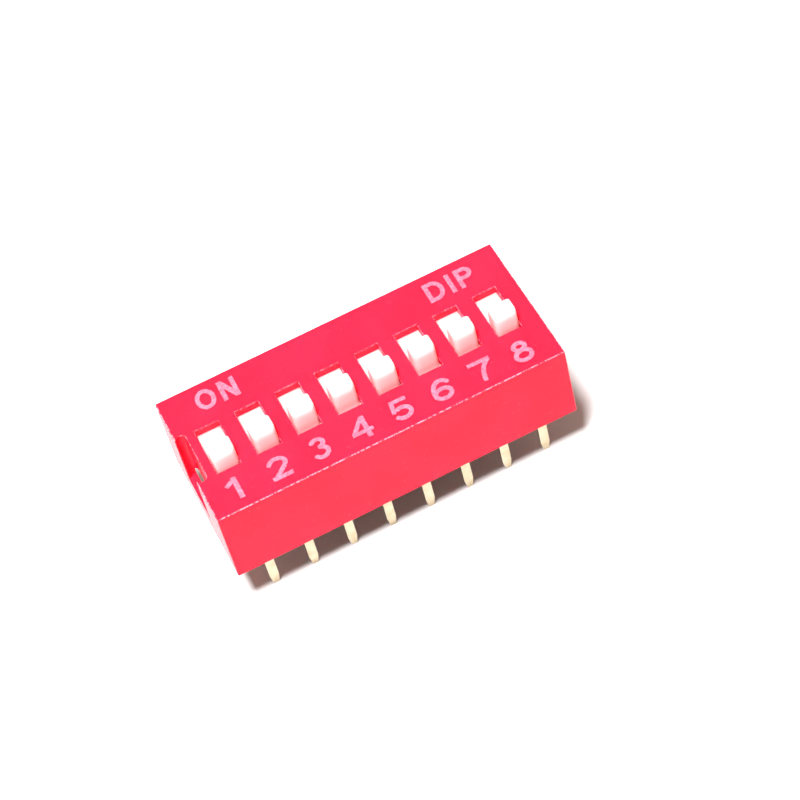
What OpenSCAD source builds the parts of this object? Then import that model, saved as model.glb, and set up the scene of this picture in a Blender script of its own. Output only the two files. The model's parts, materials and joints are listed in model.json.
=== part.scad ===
// Slide-type DIP switch: a row of miniature slide switches in one dual in-line housing.
// X runs along the row from position 1, Y runs from the numbered side to the ON side, and Z is up.
// The origin lies under the middle of the housing, on the plane of the lead tips.

/* [Row] */
// Number of switch positions in the row
positions = 8; // [2:1:12]
// Distance between neighbouring positions
pitch = 2.54; // [2.5:0.01:2.8]
// Distance between the front and the rear row of leads
row_spacing = 7.62; // [7.4:0.02:8.2]

/* [Cover] */
// Thickness of the cover's top wall
deck_t = 0.5; // [0.4:0.02:0.7]
// Thickness of the cover's front and rear walls
side_wall_t = 0.55; // [0.45:0.01:0.8]
// Thickness of the cover's end walls below the step
end_wall_t = 0.515; // [0.4:0.005:0.6]
// Wall between the last chamber and the notch
inner_wall_t = 0.27; // [0.2:0.01:0.4]
// How far the step undercuts the end walls, past the inner wall
end_gap = 0.16; // [0.1:0.01:0.3]
// Depth of the step in the end walls, from the top face
step_depth = 3.2; // [2.6:0.05:3.6]
// Outward lean of each end wall from its top to its foot
end_draft = 0.05; // [0.01:0.01:0.12]
// Rounding radius of the upper outer edges
edge_r = 0.1; // [0.04:0.01:0.2]

/* [Windows] */
// Distance of the windows' middle from the housing's middle, positive towards the ON side
window_y = -0.06; // [-0.1:0.01:0.1]
// Side gap between a knob and its window
window_fit = 0.03; // [0.03:0.01:0.08]
// Gap between a knob and the end of its window at each stop
knob_gap = 0.04; // [0.03:0.01:0.1]
// Width of the sunk border beside each window
border_w = 0.03; // [0.02:0.01:0.08]
// Length of the sunk border at each end of a window
border_l = 0.05; // [0.03:0.01:0.2]
// Depth of the sunk border
border_d = 0.03; // [0.02:0.01:0.1]

/* [End notch] */
// Overall length of the notch in the end by position 1
notch_l = 3.66; // [3.4:0.02:4.2]
// Length of the notch's mouth in the end face
notch_mouth = 3.3; // [2.6:0.02:3.34]
// Thickness of the lips beside the mouth
notch_lip = 0.055; // [0.04:0.005:0.12]
// Depth of the notch from the top face
notch_depth = 3.7; // [3:0.05:4.4]

/* [Base] */
// Height of the base
base_h = 3.92; // [3.6:0.02:4.6]
// Plastic outside the leads in the base
base_skin = 0.27; // [0.2:0.01:0.5]
// Fitting clearance between base and cover
base_fit = 0.02; // [0.01:0.005:0.05]
// Width of each corner tab that centres the base in the cover
tab_w = 0.6; // [0.4:0.05:0.65]
// Height of the corner tabs
tab_h = 1.2; // [0.6:0.05:1.6]
// Reach of the snap ridges beyond the base's long sides
snap_reach = 0.14; // [0.08:0.01:0.2]
// Height of a snap ridge
snap_h = 0.5; // [0.4:0.02:0.7]
// Length of a snap ridge
snap_l = 2.4; // [1.6:0.1:3]
// Height of the snap ridges' middle above the base's underside
snap_z = 2.3; // [1.8:0.05:2.6]
// Distance from an end of the base to the middle of the nearest snap ridge
snap_inset = 2.2; // [1.6:0.05:2.6]

/* [Lead seal] */
// Width of the sealed channel inwards of the leads
seal_in = 0.35; // [0.25:0.01:0.6]
// Depth of the sealed channel in the base's underside
seal_depth = 0.6; // [0.4:0.02:0.8]
// How far the resin stops short of the underside
seal_recess = 0.08; // [0.04:0.01:0.16]

/* [Sliders] */
// Travel of a slider from its OFF stop to its ON stop
travel = 2.15; // [1.9:0.05:2.3]
// How far each slider is left from its OFF stop, from position 1 on
rest_gaps = [0, 0.07, 0.25, 0.32, 0.2, 0.29, 0.24, 0.07];
// Running clearance of a slider in its chamber
slider_fit = 0.04; // [0.03:0.005:0.06]
// Width of a slider's plate
plate_w = 2; // [1.8:0.02:2.1]
// Thickness of a slider's plate
plate_t = 0.6; // [0.5:0.02:0.8]
// Length of plate that stays under the cover beyond the open end of its window
plate_lap = 0.1; // [0.06:0.01:0.2]
// Width of a knob
knob_w = 1.42; // [1.2:0.01:1.5]
// Length of a knob along its travel
knob_l = 1.2; // [1.1:0.01:1.4]
// Height of a knob above the cover's top face
knob_h = 1.4; // [1.1:0.05:1.6]
// Rounding of a knob's top edge on the numbered side
knob_front_r = 0.38; // [0.15:0.01:0.45]
// Rounding of a knob's top edge on the ON side
knob_back_r = 0.35; // [0.15:0.01:0.45]
// Rounding of a knob's upright edges on the numbered side
knob_front_corner_r = 0.22; // [0.12:0.01:0.45]
// Rounding of a knob's upright edges on the ON side
knob_back_corner_r = 0.16; // [0.08:0.01:0.25]

/* [Bridging contacts] */
// Height of the space for the bridging contact under a slider
spring_h = 0.49; // [0.44:0.01:0.6]
// Thickness of the contact strip
spring_t = 0.1; // [0.06:0.01:0.12]
// Width of the contact strip
spring_w = 1; // [0.6:0.05:1.2]
// Distance between a contact's two feet
foot_span = 1.7; // [1.5:0.05:1.75]
// Bend radius of a foot
foot_r = 0.25; // [0.18:0.01:0.28]
// Length of the contact's flat middle
seat_l = 0.8; // [0.6:0.02:0.9]
// Depth of the seat in a slider's underside
seat_depth = 0.15; // [0.12:0.01:0.25]
// Side clearance of the contact in its seat
seat_fit = 0.05; // [0.03:0.01:0.1]
// Room at each end of the seat for the start of a leg
seat_relief = 0.3; // [0.25:0.01:0.4]
// Gap between a foot and the contact pads
foot_gap = 0.03; // [0.02:0.005:0.05]

/* [Terminals] */
// Thickness of the terminal strip
lead_t = 0.26; // [0.2:0.01:0.3]
// Width of a lead below the housing
lead_w = 0.56; // [0.4:0.01:0.7]
// Width of a lead's tip
tip_w = 0.36; // [0.3:0.01:0.5]
// Height of the narrowing at a lead's tip
tip_h = 0.7; // [0.2:0.05:0.9]
// Length of the leads below the housing
lead_l = 3.38; // [2.6:0.02:4]
// Width of a contact pad and of the strip inside the base
pad_w = 1.2; // [1:0.02:1.5]
// Outer bend radius between a contact pad and its lead
bend_r = 0.4; // [0.32:0.01:0.6]
// How far a front pad runs past the housing's centre line
front_pad_past = 0.25; // [0.2:0.01:0.3]
// Gap between a front pad and the rear pad of the same position
pad_gap = 0.35; // [0.3:0.01:0.4]
// Plastic between the sealed channel and a lead's shoulders
shoulder_t = 0.12; // [0.08:0.01:0.3]

/* [Hidden] */
$fn = 48;
cut = 0.5;                 // how far a cutting shape runs past the face it opens
arc_steps = 10;            // steps in each bend of the contact strip
foot_end_angle = -25;      // where a foot's bend stops, measured from its centre

// Heights
foot_z = lead_l;
base_top_z = foot_z + base_h;
plate_z = base_top_z + spring_h;
deck_z = plate_z + plate_t + slider_fit;
top_z = deck_z + deck_t;
body_h = top_z - foot_z;

// Lengths along the row
bay_w = plate_w + 2 * slider_fit;
row_half = (positions - 1) / 2 * pitch + bay_w / 2;
inner_wall_x = row_half + inner_wall_t;
gap_x = inner_wall_x + end_gap;
body_l = 2 * (gap_x + end_wall_t);
base_half_l = row_half - base_fit;

// Widths across the row
lead_y = row_spacing / 2;
base_half_w = lead_y + lead_t / 2 + base_skin;
bay_half_w = base_half_w + base_fit;
body_w = 2 * (bay_half_w + side_wall_t);

// Windows and sliders
window_w = knob_w + 2 * window_fit;
window_l = knob_l + travel + 2 * knob_gap;
plate_l = window_l + travel + 2 * plate_lap;
off_y = window_y - travel / 2;

// Sealed channels
channel_in = lead_y - lead_t / 2 - seal_in;
channel_z = foot_z + seal_depth;
shoulder_z = channel_z + shoulder_t;

// Middle of position i along the row
function row_x(i) = (i - (positions + 1) / 2) * pitch;

// Middle of slider i across the row, as it is left
function rest_y(i) = off_y + rest_gaps[(i - 1) % len(rest_gaps)];

// Places its children at every position of the row
module each_position() {
    for (i = [1:positions])
        translate([row_x(i), 0, 0])
            children();
}

// Extrudes a YZ outline by w, centred on X
module across(w) {
    rotate([90, 0, 90])
        linear_extrude(w, center = true)
            children();
}

// Extrudes an XZ outline by l, centred on Y
module along(l) {
    rotate([90, 0, 0])
        linear_extrude(l, center = true)
            children();
}

// Box centred on X and Y that stands on z
module block(size, z) {
    translate([-size[0] / 2, -size[1] / 2, z])
        cube(size);
}

// Rectangle centred on the origin whose two short ends are half circles
module long_hole(w, l) {
    square([w, l - w], center = true);
    for (y = [-1, 1])
        translate([0, y * (l - w) / 2])
            circle(w / 2);
}

// Upright outline from z0 to z1, leaning outwards by draft at its foot, with round upper corners
module shell_outline(half, draft, z0, z1, r) {
    lean = draft * r / (z1 - z0);
    polygon([
        [-half - draft, z0], [half + draft, z0],
        [half + lean, z1 - r], [half - r, z1],
        [r - half, z1], [-half - lean, z1 - r]
    ]);
    for (x = [-1, 1])
        translate([x * (half - r), z1 - r])
            circle(r);
}

// --- Cover ---

// Outer block of the cover, with its four upper edges rounded
module cover_block() {
    intersection() {
        along(body_w + 2 * cut)
            shell_outline(body_l / 2, end_draft, foot_z, top_z, edge_r);
        across(body_l + 2 * cut)
            shell_outline(body_w / 2, 0, foot_z, top_z, edge_r);
    }
}

// Room for the base, open at the bottom and wider at the ends below the step
module base_bay() {
    block([2 * row_half, 2 * bay_half_w, base_h + cut], foot_z - cut);
    block([2 * gap_x, 2 * bay_half_w, body_h - step_depth + cut], foot_z - cut);
}

// One slider's chamber and its window through the top wall
module slider_chamber() {
    block([bay_w, 2 * bay_half_w, deck_z - base_top_z + cut], base_top_z - cut);
    translate([0, window_y, 0]) {
        block([window_w, window_l, deck_t + 2 * cut], deck_z - cut);
        block([window_w + 2 * border_w, window_l + 2 * border_l, border_d + cut], top_z - border_d);
    }
}

// Upright notch in the end by position 1: a long hole that breaks out through the end face
module end_notch() {
    w = end_gap + end_wall_t - notch_lip;
    translate([-inner_wall_x, 0, top_z - notch_depth]) {
        linear_extrude(notch_depth + cut)
            translate([-w / 2, 0])
                long_hole(w, notch_l);
        translate([-w / 2 - end_wall_t - cut, -notch_mouth / 2, 0])
            cube([end_wall_t + cut, notch_mouth, notch_depth + cut]);
    }
}

// Outline of the ridge on the base, grown by g, as seen along X from the base's long side
module snap_outline(g) {
    polygon([
        [-cut, -snap_h / 2 - g], [0, -snap_h / 2 - g],
        [snap_reach + g, 0], [0, snap_h / 2 + g], [-cut, snap_h / 2 + g]
    ]);
}

// Snap ridges, one near each end of both long sides, grown by g
module snap_ridges(g) {
    for (x = [-1, 1], turn = [0, 180])
        rotate([0, 0, turn])
            translate([x * (base_half_l - snap_inset), base_half_w, foot_z + snap_z])
                across(snap_l + 2 * g)
                    snap_outline(g);
}

module cover() {
    color([0.86, 0.09, 0.16])
        difference() {
            cover_block();
            base_bay();
            each_position()
                slider_chamber();
            end_notch();
            snap_ridges(base_fit);
        }
}

// --- Base ---

// Channel that runs the length of the base around one row of leads
module seal_channel(z, h) {
    translate([-base_half_l, channel_in, z])
        cube([2 * base_half_l, bay_half_w - channel_in, h]);
}

// Corner tabs that reach the end walls of the cover
module corner_tabs() {
    for (x = [-1, 1], y = [-1, 1])
        translate([x * (base_half_l + gap_x - base_fit - cut) / 2, y * (base_half_w - tab_w / 2), 0])
            block([gap_x - base_fit - base_half_l + cut, tab_w, tab_h], foot_z);
}

module base() {
    color([0.13, 0.13, 0.14])
        difference() {
            union() {
                block([2 * base_half_l, 2 * base_half_w, base_h], foot_z);
                corner_tabs();
                snap_ridges(0);
            }
            seal_channel(foot_z - cut, seal_depth + cut);
            rotate([0, 0, 180])
                seal_channel(foot_z - cut, seal_depth + cut);
            each_position() {
                front_strip();
                rear_strip();
            }
        }
}

// --- Terminals ---

// Bent terminal on the +Y side: a pad from pad_y outwards, a bend, and a lead that goes down
module terminal_strip(pad_y) {
    outer = lead_y + lead_t / 2;
    across(pad_w) {
        translate([pad_y, base_top_z - lead_t])
            square([outer - bend_r - pad_y, lead_t]);
        translate([outer - bend_r, base_top_z - bend_r])
            intersection() {
                difference() {
                    circle(bend_r);
                    circle(bend_r - lead_t);
                }
                square(bend_r);
            }
        translate([outer - lead_t, shoulder_z])
            square([lead_t, base_top_z - bend_r - shoulder_z]);
    }
    translate([0, lead_y, 0])
        along(lead_t)
            polygon([
                [-tip_w / 2, 0], [tip_w / 2, 0], [lead_w / 2, tip_h],
                [lead_w / 2, shoulder_z], [-lead_w / 2, shoulder_z], [-lead_w / 2, tip_h]
            ]);
}

// Strip of a front terminal, which carries the pad on both sides of the housing's middle
module front_strip() {
    rotate([0, 0, 180])
        terminal_strip(-front_pad_past);
}

// Strip of a rear terminal, whose pad a slider reaches only in the ON position
module rear_strip() {
    terminal_strip(front_pad_past + pad_gap);
}

module front_terminal(i) {
    color([0.83, 0.74, 0.5])
        translate([row_x(i), 0, 0])
            front_strip();
}

module rear_terminal(i) {
    color([0.83, 0.74, 0.5])
        translate([row_x(i), 0, 0])
            rear_strip();
}

// --- Lead seals ---

// Resin that fills the channel on the +Y side, around the leads
module lead_seal() {
    color([0.2, 0.16, 0.13])
        difference() {
            seal_channel(foot_z + seal_recess, seal_depth - seal_recess);
            each_position()
                rear_strip();
        }
}

module rear_lead_seal() {
    lead_seal();
}

module front_lead_seal() {
    rotate([0, 0, 180])
        lead_seal();
}

// --- Sliders ---

// Side view of a knob, with round edges along its top
module knob_outline() {
    half = knob_l / 2;
    knob_z = top_z + knob_h;
    polygon([
        [-half, plate_z], [half, plate_z],
        [half, knob_z - knob_back_r], [half - knob_back_r, knob_z],
        [knob_front_r - half, knob_z], [-half, knob_z - knob_front_r]
    ]);
    translate([knob_front_r - half, knob_z - knob_front_r])
        circle(knob_front_r);
    translate([half - knob_back_r, knob_z - knob_back_r])
        circle(knob_back_r);
}

// Plan view of a knob, with round corners
module knob_plan() {
    w = knob_w / 2;
    l = knob_l / 2;
    front = knob_front_corner_r;
    back = knob_back_corner_r;
    polygon([
        [-w, front - l], [front - w, -l], [w - front, -l], [w, front - l],
        [w, l - back], [w - back, l], [back - w, l], [-w, l - back]
    ]);
    for (x = [-1, 1]) {
        translate([x * (w - front), front - l])
            circle(front);
        translate([x * (w - back), l - back])
            circle(back);
    }
}

module knob() {
    intersection() {
        across(knob_w)
            knob_outline();
        translate([0, 0, plate_z])
            linear_extrude(top_z + knob_h - plate_z)
                knob_plan();
    }
}

// Slider of position i as it is left: a plate that closes the window, with a knob on top
module slider(i) {
    color([0.95, 0.94, 0.92])
        translate([row_x(i), rest_y(i), 0])
            difference() {
                union() {
                    block([plate_w, plate_l, plate_t], plate_z);
                    knob();
                }
                block([spring_w + 2 * seat_fit, seat_l + 2 * seat_relief, seat_depth + cut], plate_z - cut);
            }
}

// --- Bridging contacts ---

function unit(v) = v / norm(v);

// Half of the strip's middle line: the end of the flat, then a straight leg, then the foot's bend
function half_line() =
    let (
        flat_end = [seat_l / 2, plate_z + seat_depth - spring_t / 2],
        centre = [foot_span / 2, base_top_z + foot_gap + spring_t / 2 + foot_r],
        reach = centre - flat_end,
        leg_angle = atan2(reach[1], reach[0]) - asin(foot_r / norm(reach)),
        bend_start = leg_angle - 90,
        step = (foot_end_angle - bend_start) / arc_steps
    )
    concat(
        [flat_end],
        [for (k = [0:arc_steps]) centre + foot_r * [cos(bend_start + k * step), sin(bend_start + k * step)]]
    );

// Whole middle line, from one foot to the other
function middle_line() =
    let (half = half_line(), last = len(half) - 1)
    concat([for (k = [0:last]) [-half[last - k][0], half[last - k][1]]], half);

// Point beside vertex k of a line, at distance d to its left
function beside(line, k, d) =
    let (
        last = len(line) - 1,
        ahead = unit(line[min(k + 1, last)] - line[min(k, last - 1)]),
        behind = unit(line[max(k, 1)] - line[max(k - 1, 0)]),
        along = unit(ahead + behind)
    )
    line[k] + [-along[1], along[0]] * d / (along * ahead);

// Strip with two bent feet that rides in a slider's seat
module bridging_contact(i) {
    line = middle_line();
    last = len(line) - 1;
    color([0.9, 0.72, 0.35])
        translate([row_x(i), rest_y(i), 0])
            across(spring_w)
                polygon(concat(
                    [for (k = [0:last]) beside(line, k, spring_t / 2)],
                    [for (k = [0:last]) beside(line, last - k, -spring_t / 2)]
                ));
}

cover();
base();
front_lead_seal();
rear_lead_seal();
for (i = [1:positions]) {
    slider(i);
    bridging_contact(i);
    front_terminal(i);
    rear_terminal(i);
}
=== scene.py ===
"""Looks of a slide-type DIP switch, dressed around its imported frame.

Every sub-assembly is a class: its sizes are dataclass fields in millimetres, and its methods make the
meshes and dress them. Places come from the frame's own boxes. The switch's meshes are made in millimetres
and turned into metres as they are placed.
"""

import json
import logging
import math
from collections.abc import Callable, Iterable, Sequence
from dataclasses import dataclass, field
from enum import Enum

import bmesh
import bpy
import numpy as np
from mathutils import Euler, Matrix, Vector, noise

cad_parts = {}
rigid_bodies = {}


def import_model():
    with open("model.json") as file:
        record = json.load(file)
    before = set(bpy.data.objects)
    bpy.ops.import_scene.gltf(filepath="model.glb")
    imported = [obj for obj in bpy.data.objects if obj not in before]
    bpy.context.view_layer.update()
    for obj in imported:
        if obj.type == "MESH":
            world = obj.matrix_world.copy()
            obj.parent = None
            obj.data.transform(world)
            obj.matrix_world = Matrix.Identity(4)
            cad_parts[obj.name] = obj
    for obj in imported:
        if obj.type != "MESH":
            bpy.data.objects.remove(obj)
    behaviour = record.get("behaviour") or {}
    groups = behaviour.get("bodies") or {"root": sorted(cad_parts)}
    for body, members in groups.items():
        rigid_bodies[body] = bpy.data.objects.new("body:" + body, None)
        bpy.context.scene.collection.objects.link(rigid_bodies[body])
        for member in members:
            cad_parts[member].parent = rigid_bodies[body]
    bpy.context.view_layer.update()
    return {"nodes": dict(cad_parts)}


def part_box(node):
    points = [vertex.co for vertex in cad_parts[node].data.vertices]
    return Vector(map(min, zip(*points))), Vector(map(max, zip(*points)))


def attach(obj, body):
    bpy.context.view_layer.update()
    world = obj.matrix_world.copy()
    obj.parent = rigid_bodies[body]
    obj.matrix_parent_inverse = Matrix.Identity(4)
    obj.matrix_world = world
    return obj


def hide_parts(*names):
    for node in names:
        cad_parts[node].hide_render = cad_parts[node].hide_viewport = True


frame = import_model()

MM = 0.001
TOUCH = 1e-3  # two places closer than this, in millimetres, are the same
SHARP_ANGLE = math.radians(35)
FLAT_ANGLE = math.radians(0.5)  # faces that meet at less than this are one face
MIDDLE = 0.5  # middle of a mask or a noise
HOUSING = "housing"
log = logging.getLogger("switch")

Point = tuple[float, float]
Color = tuple[float, float, float]


class Slot(Enum):
    """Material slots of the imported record."""

    COVER = "cover_plastic"
    BASE = "base_plastic"
    SLIDER = "slider_plastic"
    LEAD = "lead_metal"
    CONTACT = "contact_metal"
    SEAL = "seal_resin"


class Side(Enum):
    """The two rows of leads."""

    FRONT = "front"
    REAR = "rear"


class Combining(Enum):
    """Ways to put solids together."""

    CUT = "DIFFERENCE"
    MERGE = "UNION"


# --- Meshes ---


def node_box(node: str) -> tuple[Vector, Vector]:
    """Gives the lowest and highest corner of a frame node's box, in millimetres."""
    low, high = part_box(node)
    return low / MM, high / MM


def block(low: Sequence[float], high: Sequence[float]) -> bmesh.types.BMesh:
    """Makes a closed box between its lowest and its highest corner."""
    outline = [(low[0], low[1]), (high[0], low[1]), (high[0], high[1]), (low[0], high[1])]
    return loft([[(x, y, z) for x, y in outline] for z in (low[2], high[2])])


def loft(rings: Sequence[Sequence[Sequence[float]]]) -> bmesh.types.BMesh:
    """Joins rings of points into one closed skin with flat ends.

    Args:
        rings: Rings of equal length, anticlockwise seen from above, from the bottom up.

    Returns:
        The closed mesh.
    """
    made = bmesh.new()
    levels = [[made.verts.new(point) for point in ring] for ring in rings]
    made.faces.new(reversed(levels[0]))
    made.faces.new(levels[-1])
    count = len(levels[0])
    for below, above in zip(levels, levels[1:]):
        for k in range(count):
            n = (k + 1) % count
            made.faces.new((below[k], below[n], above[n], above[k]))
    return made


def evenly(start: float, end: float, steps: int) -> list[float]:
    """Gives values from start to end in even steps, with both ends."""
    return [start + (end - start) * k / steps for k in range(steps + 1)]


def meshed(made: bmesh.types.BMesh, name: str) -> bpy.types.Mesh:
    """Ends the construction of a mesh.

    Args:
        made: The mesh under construction, which is used up.
        name: Its name.

    Returns:
        The finished mesh.
    """
    mesh = bpy.data.meshes.new(name)
    made.to_mesh(mesh)
    made.free()
    return mesh


def linked(name: str, data: bpy.types.ID) -> bpy.types.Object:
    """Makes an object and links it into the scene.

    Args:
        name: Its name.
        data: The mesh, camera or light that it shows.

    Returns:
        The object.
    """
    made = bpy.data.objects.new(name, data)
    bpy.context.scene.collection.objects.link(made)
    return made


def stand_in(made: bmesh.types.BMesh, collection: bpy.types.Collection) -> bpy.types.Object:
    """Turns a mesh under construction into an object that modifiers can work on.

    Args:
        made: The mesh, which is used up.
        collection: Where the object goes.

    Returns:
        The object.
    """
    thing = bpy.data.objects.new("work", meshed(made, "work"))
    collection.objects.link(thing)
    return thing


def combine(body: bmesh.types.BMesh, tools: Iterable[bmesh.types.BMesh], way: Combining) -> bmesh.types.BMesh:
    """Cuts solids out of a body, or joins them to it.

    Args:
        body: The body, which is used up.
        tools: The other solids, which are used up.
        way: Whether they are cut out or merged.

    Returns:
        The result, with its flat faces in one piece each.
    """
    home = bpy.data.collections.new("work")
    cutters = bpy.data.collections.new("cutters")
    bpy.context.scene.collection.children.link(home)
    home.children.link(cutters)
    thing = stand_in(body, home)
    for tool in tools:
        stand_in(tool, cutters)
    step = thing.modifiers.new("combine", "BOOLEAN")
    step.solver = "EXACT"
    step.operand_type = "COLLECTION"
    step.collection = cutters
    step.operation = way.value
    result = bmesh.new()
    graph = bpy.context.evaluated_depsgraph_get()
    result.from_mesh(thing.evaluated_get(graph).to_mesh())
    for used in list(home.all_objects):
        mesh = used.data
        bpy.data.objects.remove(used)
        bpy.data.meshes.remove(mesh)
    bpy.data.collections.remove(cutters)
    bpy.data.collections.remove(home)
    return flattened(result)


def flattened(made: bmesh.types.BMesh) -> bmesh.types.BMesh:
    """Welds a mesh and merges what lies in one plane.

    Args:
        made: The mesh, which is changed.

    Returns:
        The same mesh.
    """
    bmesh.ops.remove_doubles(made, verts=made.verts, dist=TOUCH / 10)
    parts = {"verts": made.verts, "edges": made.edges}
    bmesh.ops.dissolve_limit(made, angle_limit=FLAT_ANGLE, delimit={"SEAM"}, **parts)
    return made


def parted(made: bmesh.types.BMesh, places: Iterable[float]) -> bmesh.types.BMesh:
    """Parts faces along lines across the row, so that no face has a hole in it.

    Args:
        made: The mesh, which is changed.
        places: Where the lines lie along y.

    Returns:
        The same mesh.
    """
    for y in places:
        everything = [*made.verts, *made.edges, *made.faces]
        line_at = {"plane_co": (0, y, 0), "plane_no": (0, 1, 0)}
        cut = bmesh.ops.bisect_plane(made, geom=everything, dist=TOUCH / 2, **line_at)
        for item in cut["geom_cut"]:
            if isinstance(item, bmesh.types.BMEdge):
                item.seam = True
    return flattened(made)


def softened(
    made: bmesh.types.BMesh, radius_at: Callable[[bmesh.types.BMEdge], float], segments: int = 3
) -> bpy.types.Mesh:
    """Rounds the edges of a mesh and gives it clean shading.

    Args:
        made: The mesh, which is used up.
        radius_at: Tells the radius of an edge in millimetres, 0 for one that stays sharp.
        segments: Steps in each rounding.

    Returns:
        The finished mesh, still in millimetres.
    """
    radii = {edge.index: radius_at(edge) for edge in indexed(made) if len(edge.link_faces) == 2}
    widest = max(radii.values())
    weight = made.edges.layers.float.get("bevel_weight_edge")
    weight = weight or made.edges.layers.float.new("bevel_weight_edge")
    made.edges.ensure_lookup_table()
    for index, radius in radii.items():
        made.edges[index][weight] = radius / widest
    home = bpy.context.scene.collection
    thing = stand_in(made, home)
    step = thing.modifiers.new("round", "BEVEL")
    step.limit_method = "WEIGHT"
    step.width = widest
    step.segments = segments
    step.use_clamp_overlap = False
    rounded = baked(thing)
    rounded.shade_smooth()
    rounded.set_sharp_from_angle(angle=SHARP_ANGLE)
    old = thing.data
    thing.modifiers.clear()
    thing.data = rounded
    bpy.data.meshes.remove(old)
    step = thing.modifiers.new("normals", "WEIGHTED_NORMAL")
    step.keep_sharp = True
    finished = baked(thing)
    bpy.data.objects.remove(thing)
    bpy.data.meshes.remove(rounded)
    return finished


def indexed(made: bmesh.types.BMesh) -> bmesh.types.BMEdgeSeq:
    """Numbers a mesh's edges and brings its normals up to date.

    Args:
        made: The mesh.

    Returns:
        Its edges.
    """
    made.edges.index_update()
    made.normal_update()
    return made.edges


def baked(thing: bpy.types.Object) -> bpy.types.Mesh:
    """Gives an object's mesh with its modifiers applied."""
    graph = bpy.context.evaluated_depsgraph_get()
    return bpy.data.meshes.new_from_object(thing.evaluated_get(graph), depsgraph=graph)


def node_solid(node: str) -> bmesh.types.BMesh:
    """Copies a frame node's solid, with its flat faces in one piece each.

    Args:
        node: Name of the node.

    Returns:
        The copy, in millimetres.
    """
    made = bmesh.new()
    made.from_mesh(frame["nodes"][node].data)
    bmesh.ops.scale(made, vec=(1 / MM,) * 3, verts=made.verts)
    return flattened(made)


def crease_radius(radius: float) -> Callable[[bmesh.types.BMEdge], float]:
    """Makes a rule that rounds every sharp edge by one radius.

    Args:
        radius: The radius in millimetres.

    Returns:
        The rule for softened().
    """

    def at(edge: bmesh.types.BMEdge) -> float:
        """Gives the edge's radius."""
        return radius if edge.calc_face_angle(0.0) > SHARP_ANGLE else 0.0

    return at


def place(
    mesh: bpy.types.Mesh,
    name: str,
    finish: bpy.types.Material,
    body: str,
    slot: Slot | None = None,
    stands_for: Sequence[str] = (),
) -> None:
    """Puts a finished mesh into the scene as a piece of the switch.

    Args:
        mesh: The mesh in millimetres, in the frame's own place.
        name: The piece's name.
        finish: Its material.
        body: The body that it rides on.
        slot: The record's slot for its finish; not used.
        stands_for: Frame nodes that it stands for.
    """
    mesh.transform(Matrix.Scale(MM, 4))
    mesh.name = name
    mesh.materials.clear()
    mesh.materials.append(finish)
    piece = linked(name, mesh)
    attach(piece, body)
    if stands_for:
        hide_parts(*stands_for)
    log.info("%s: %d faces on %s", name, len(mesh.polygons), body)


# --- Shader groups ---


class Graph:
    """Short ways to add nodes to a tree and to join them."""

    def __init__(self, tree: bpy.types.NodeTree) -> None:
        """Takes the tree that the nodes go into."""
        self.tree = tree

    def add(self, kind: str, settings: dict[str, object] | None = None, **inputs: object) -> bpy.types.Node:
        """Adds a node.

        Args:
            kind: Its type, without the leading ShaderNode.
            settings: Properties of the node.
            inputs: Values or sockets for its inputs, named in lower case with _ for each space.

        Returns:
            The node.
        """
        made = self.tree.nodes.new("ShaderNode" + kind)
        for name, value in (settings or {}).items():
            setattr(made, name, value)
        for name, value in inputs.items():
            self.feed(made, name, value)
        return made

    def feed(self, made: bpy.types.Node, name: str, value: object) -> None:
        """Sets or joins one input of a node.

        Args:
            made: The node.
            name: The input's name in lower case with _ for each space, or its number after an i.
            value: A value, or a socket to join.
        """
        if name[0] == "i" and name[1:].isdigit():
            socket = made.inputs[int(name[1:])]
        else:
            socket = next(s for s in made.inputs if s.enabled and s.name.lower().replace(" ", "_") == name)
        if isinstance(value, bpy.types.NodeSocket):
            self.join(value, socket)
        else:
            socket.default_value = value

    def join(self, value: bpy.types.NodeSocket, socket: bpy.types.NodeSocket) -> None:
        """Joins an output to an input."""
        self.tree.links.new(value, socket)

    def math(self, operation: str, *values: object, clamp: bool = False) -> bpy.types.NodeSocket:
        """Works out a value from others, kept between 0 and 1 if it is clamped."""
        inputs = {f"i{k}": value for k, value in enumerate(values)}
        return self.add("Math", {"operation": operation, "use_clamp": clamp}, **inputs).outputs[0]

    def ramp(self, value: object, low: object, high: object) -> bpy.types.NodeSocket:
        """Maps low..high to 0..1 along a smooth step."""
        settings = {"interpolation_type": "SMOOTHSTEP"}
        return self.add("MapRange", settings, value=value, from_min=low, from_max=high).outputs[0]

    def blend(self, share: object, a: object, b: object) -> bpy.types.NodeSocket:
        """Mixes colours a and b by the share of b."""
        return self.add("Mix", {"data_type": "RGBA"}, i0=share, i6=a, i7=b).outputs[2]

    def place_mm(self) -> bpy.types.NodeSocket:
        """Gives the point on the piece, in millimetres of the frame."""
        here = self.add("TexCoord").outputs["Object"]
        return self.add("VectorMath", {"operation": "SCALE"}, i0=here, scale=1 / MM).outputs[0]


class Effect(Enum):
    """Effects that several finishes share, each a node group with named inputs and outputs."""

    GRAIN = "Moulded grain"
    MOTTLE = "Colour mottle"
    # On the plastics this edge mask lays a paler colour that is partly wear and partly a painted highlight.
    EDGE_WEAR = "Edge wear"
    SCRATCHES = "Fine scratches"
    SPECKS = "Specks"


@dataclass(frozen=True)
class Port:
    """One socket of a node group."""

    name: str
    value: float | Color = 0.0
    out: bool = False

    def add_to(self, tree: bpy.types.NodeTree) -> None:
        """Makes the socket on a group's outside.

        Args:
            tree: The group's node tree.
        """
        kind = "NodeSocketFloat" if isinstance(self.value, float) else "NodeSocketColor"
        way = "OUTPUT" if self.out else "INPUT"
        made = tree.interface.new_socket(name=self.name, in_out=way, socket_type=kind)
        if not self.out:
            made.default_value = self.value if isinstance(self.value, float) else (*self.value, 1.0)


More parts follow.
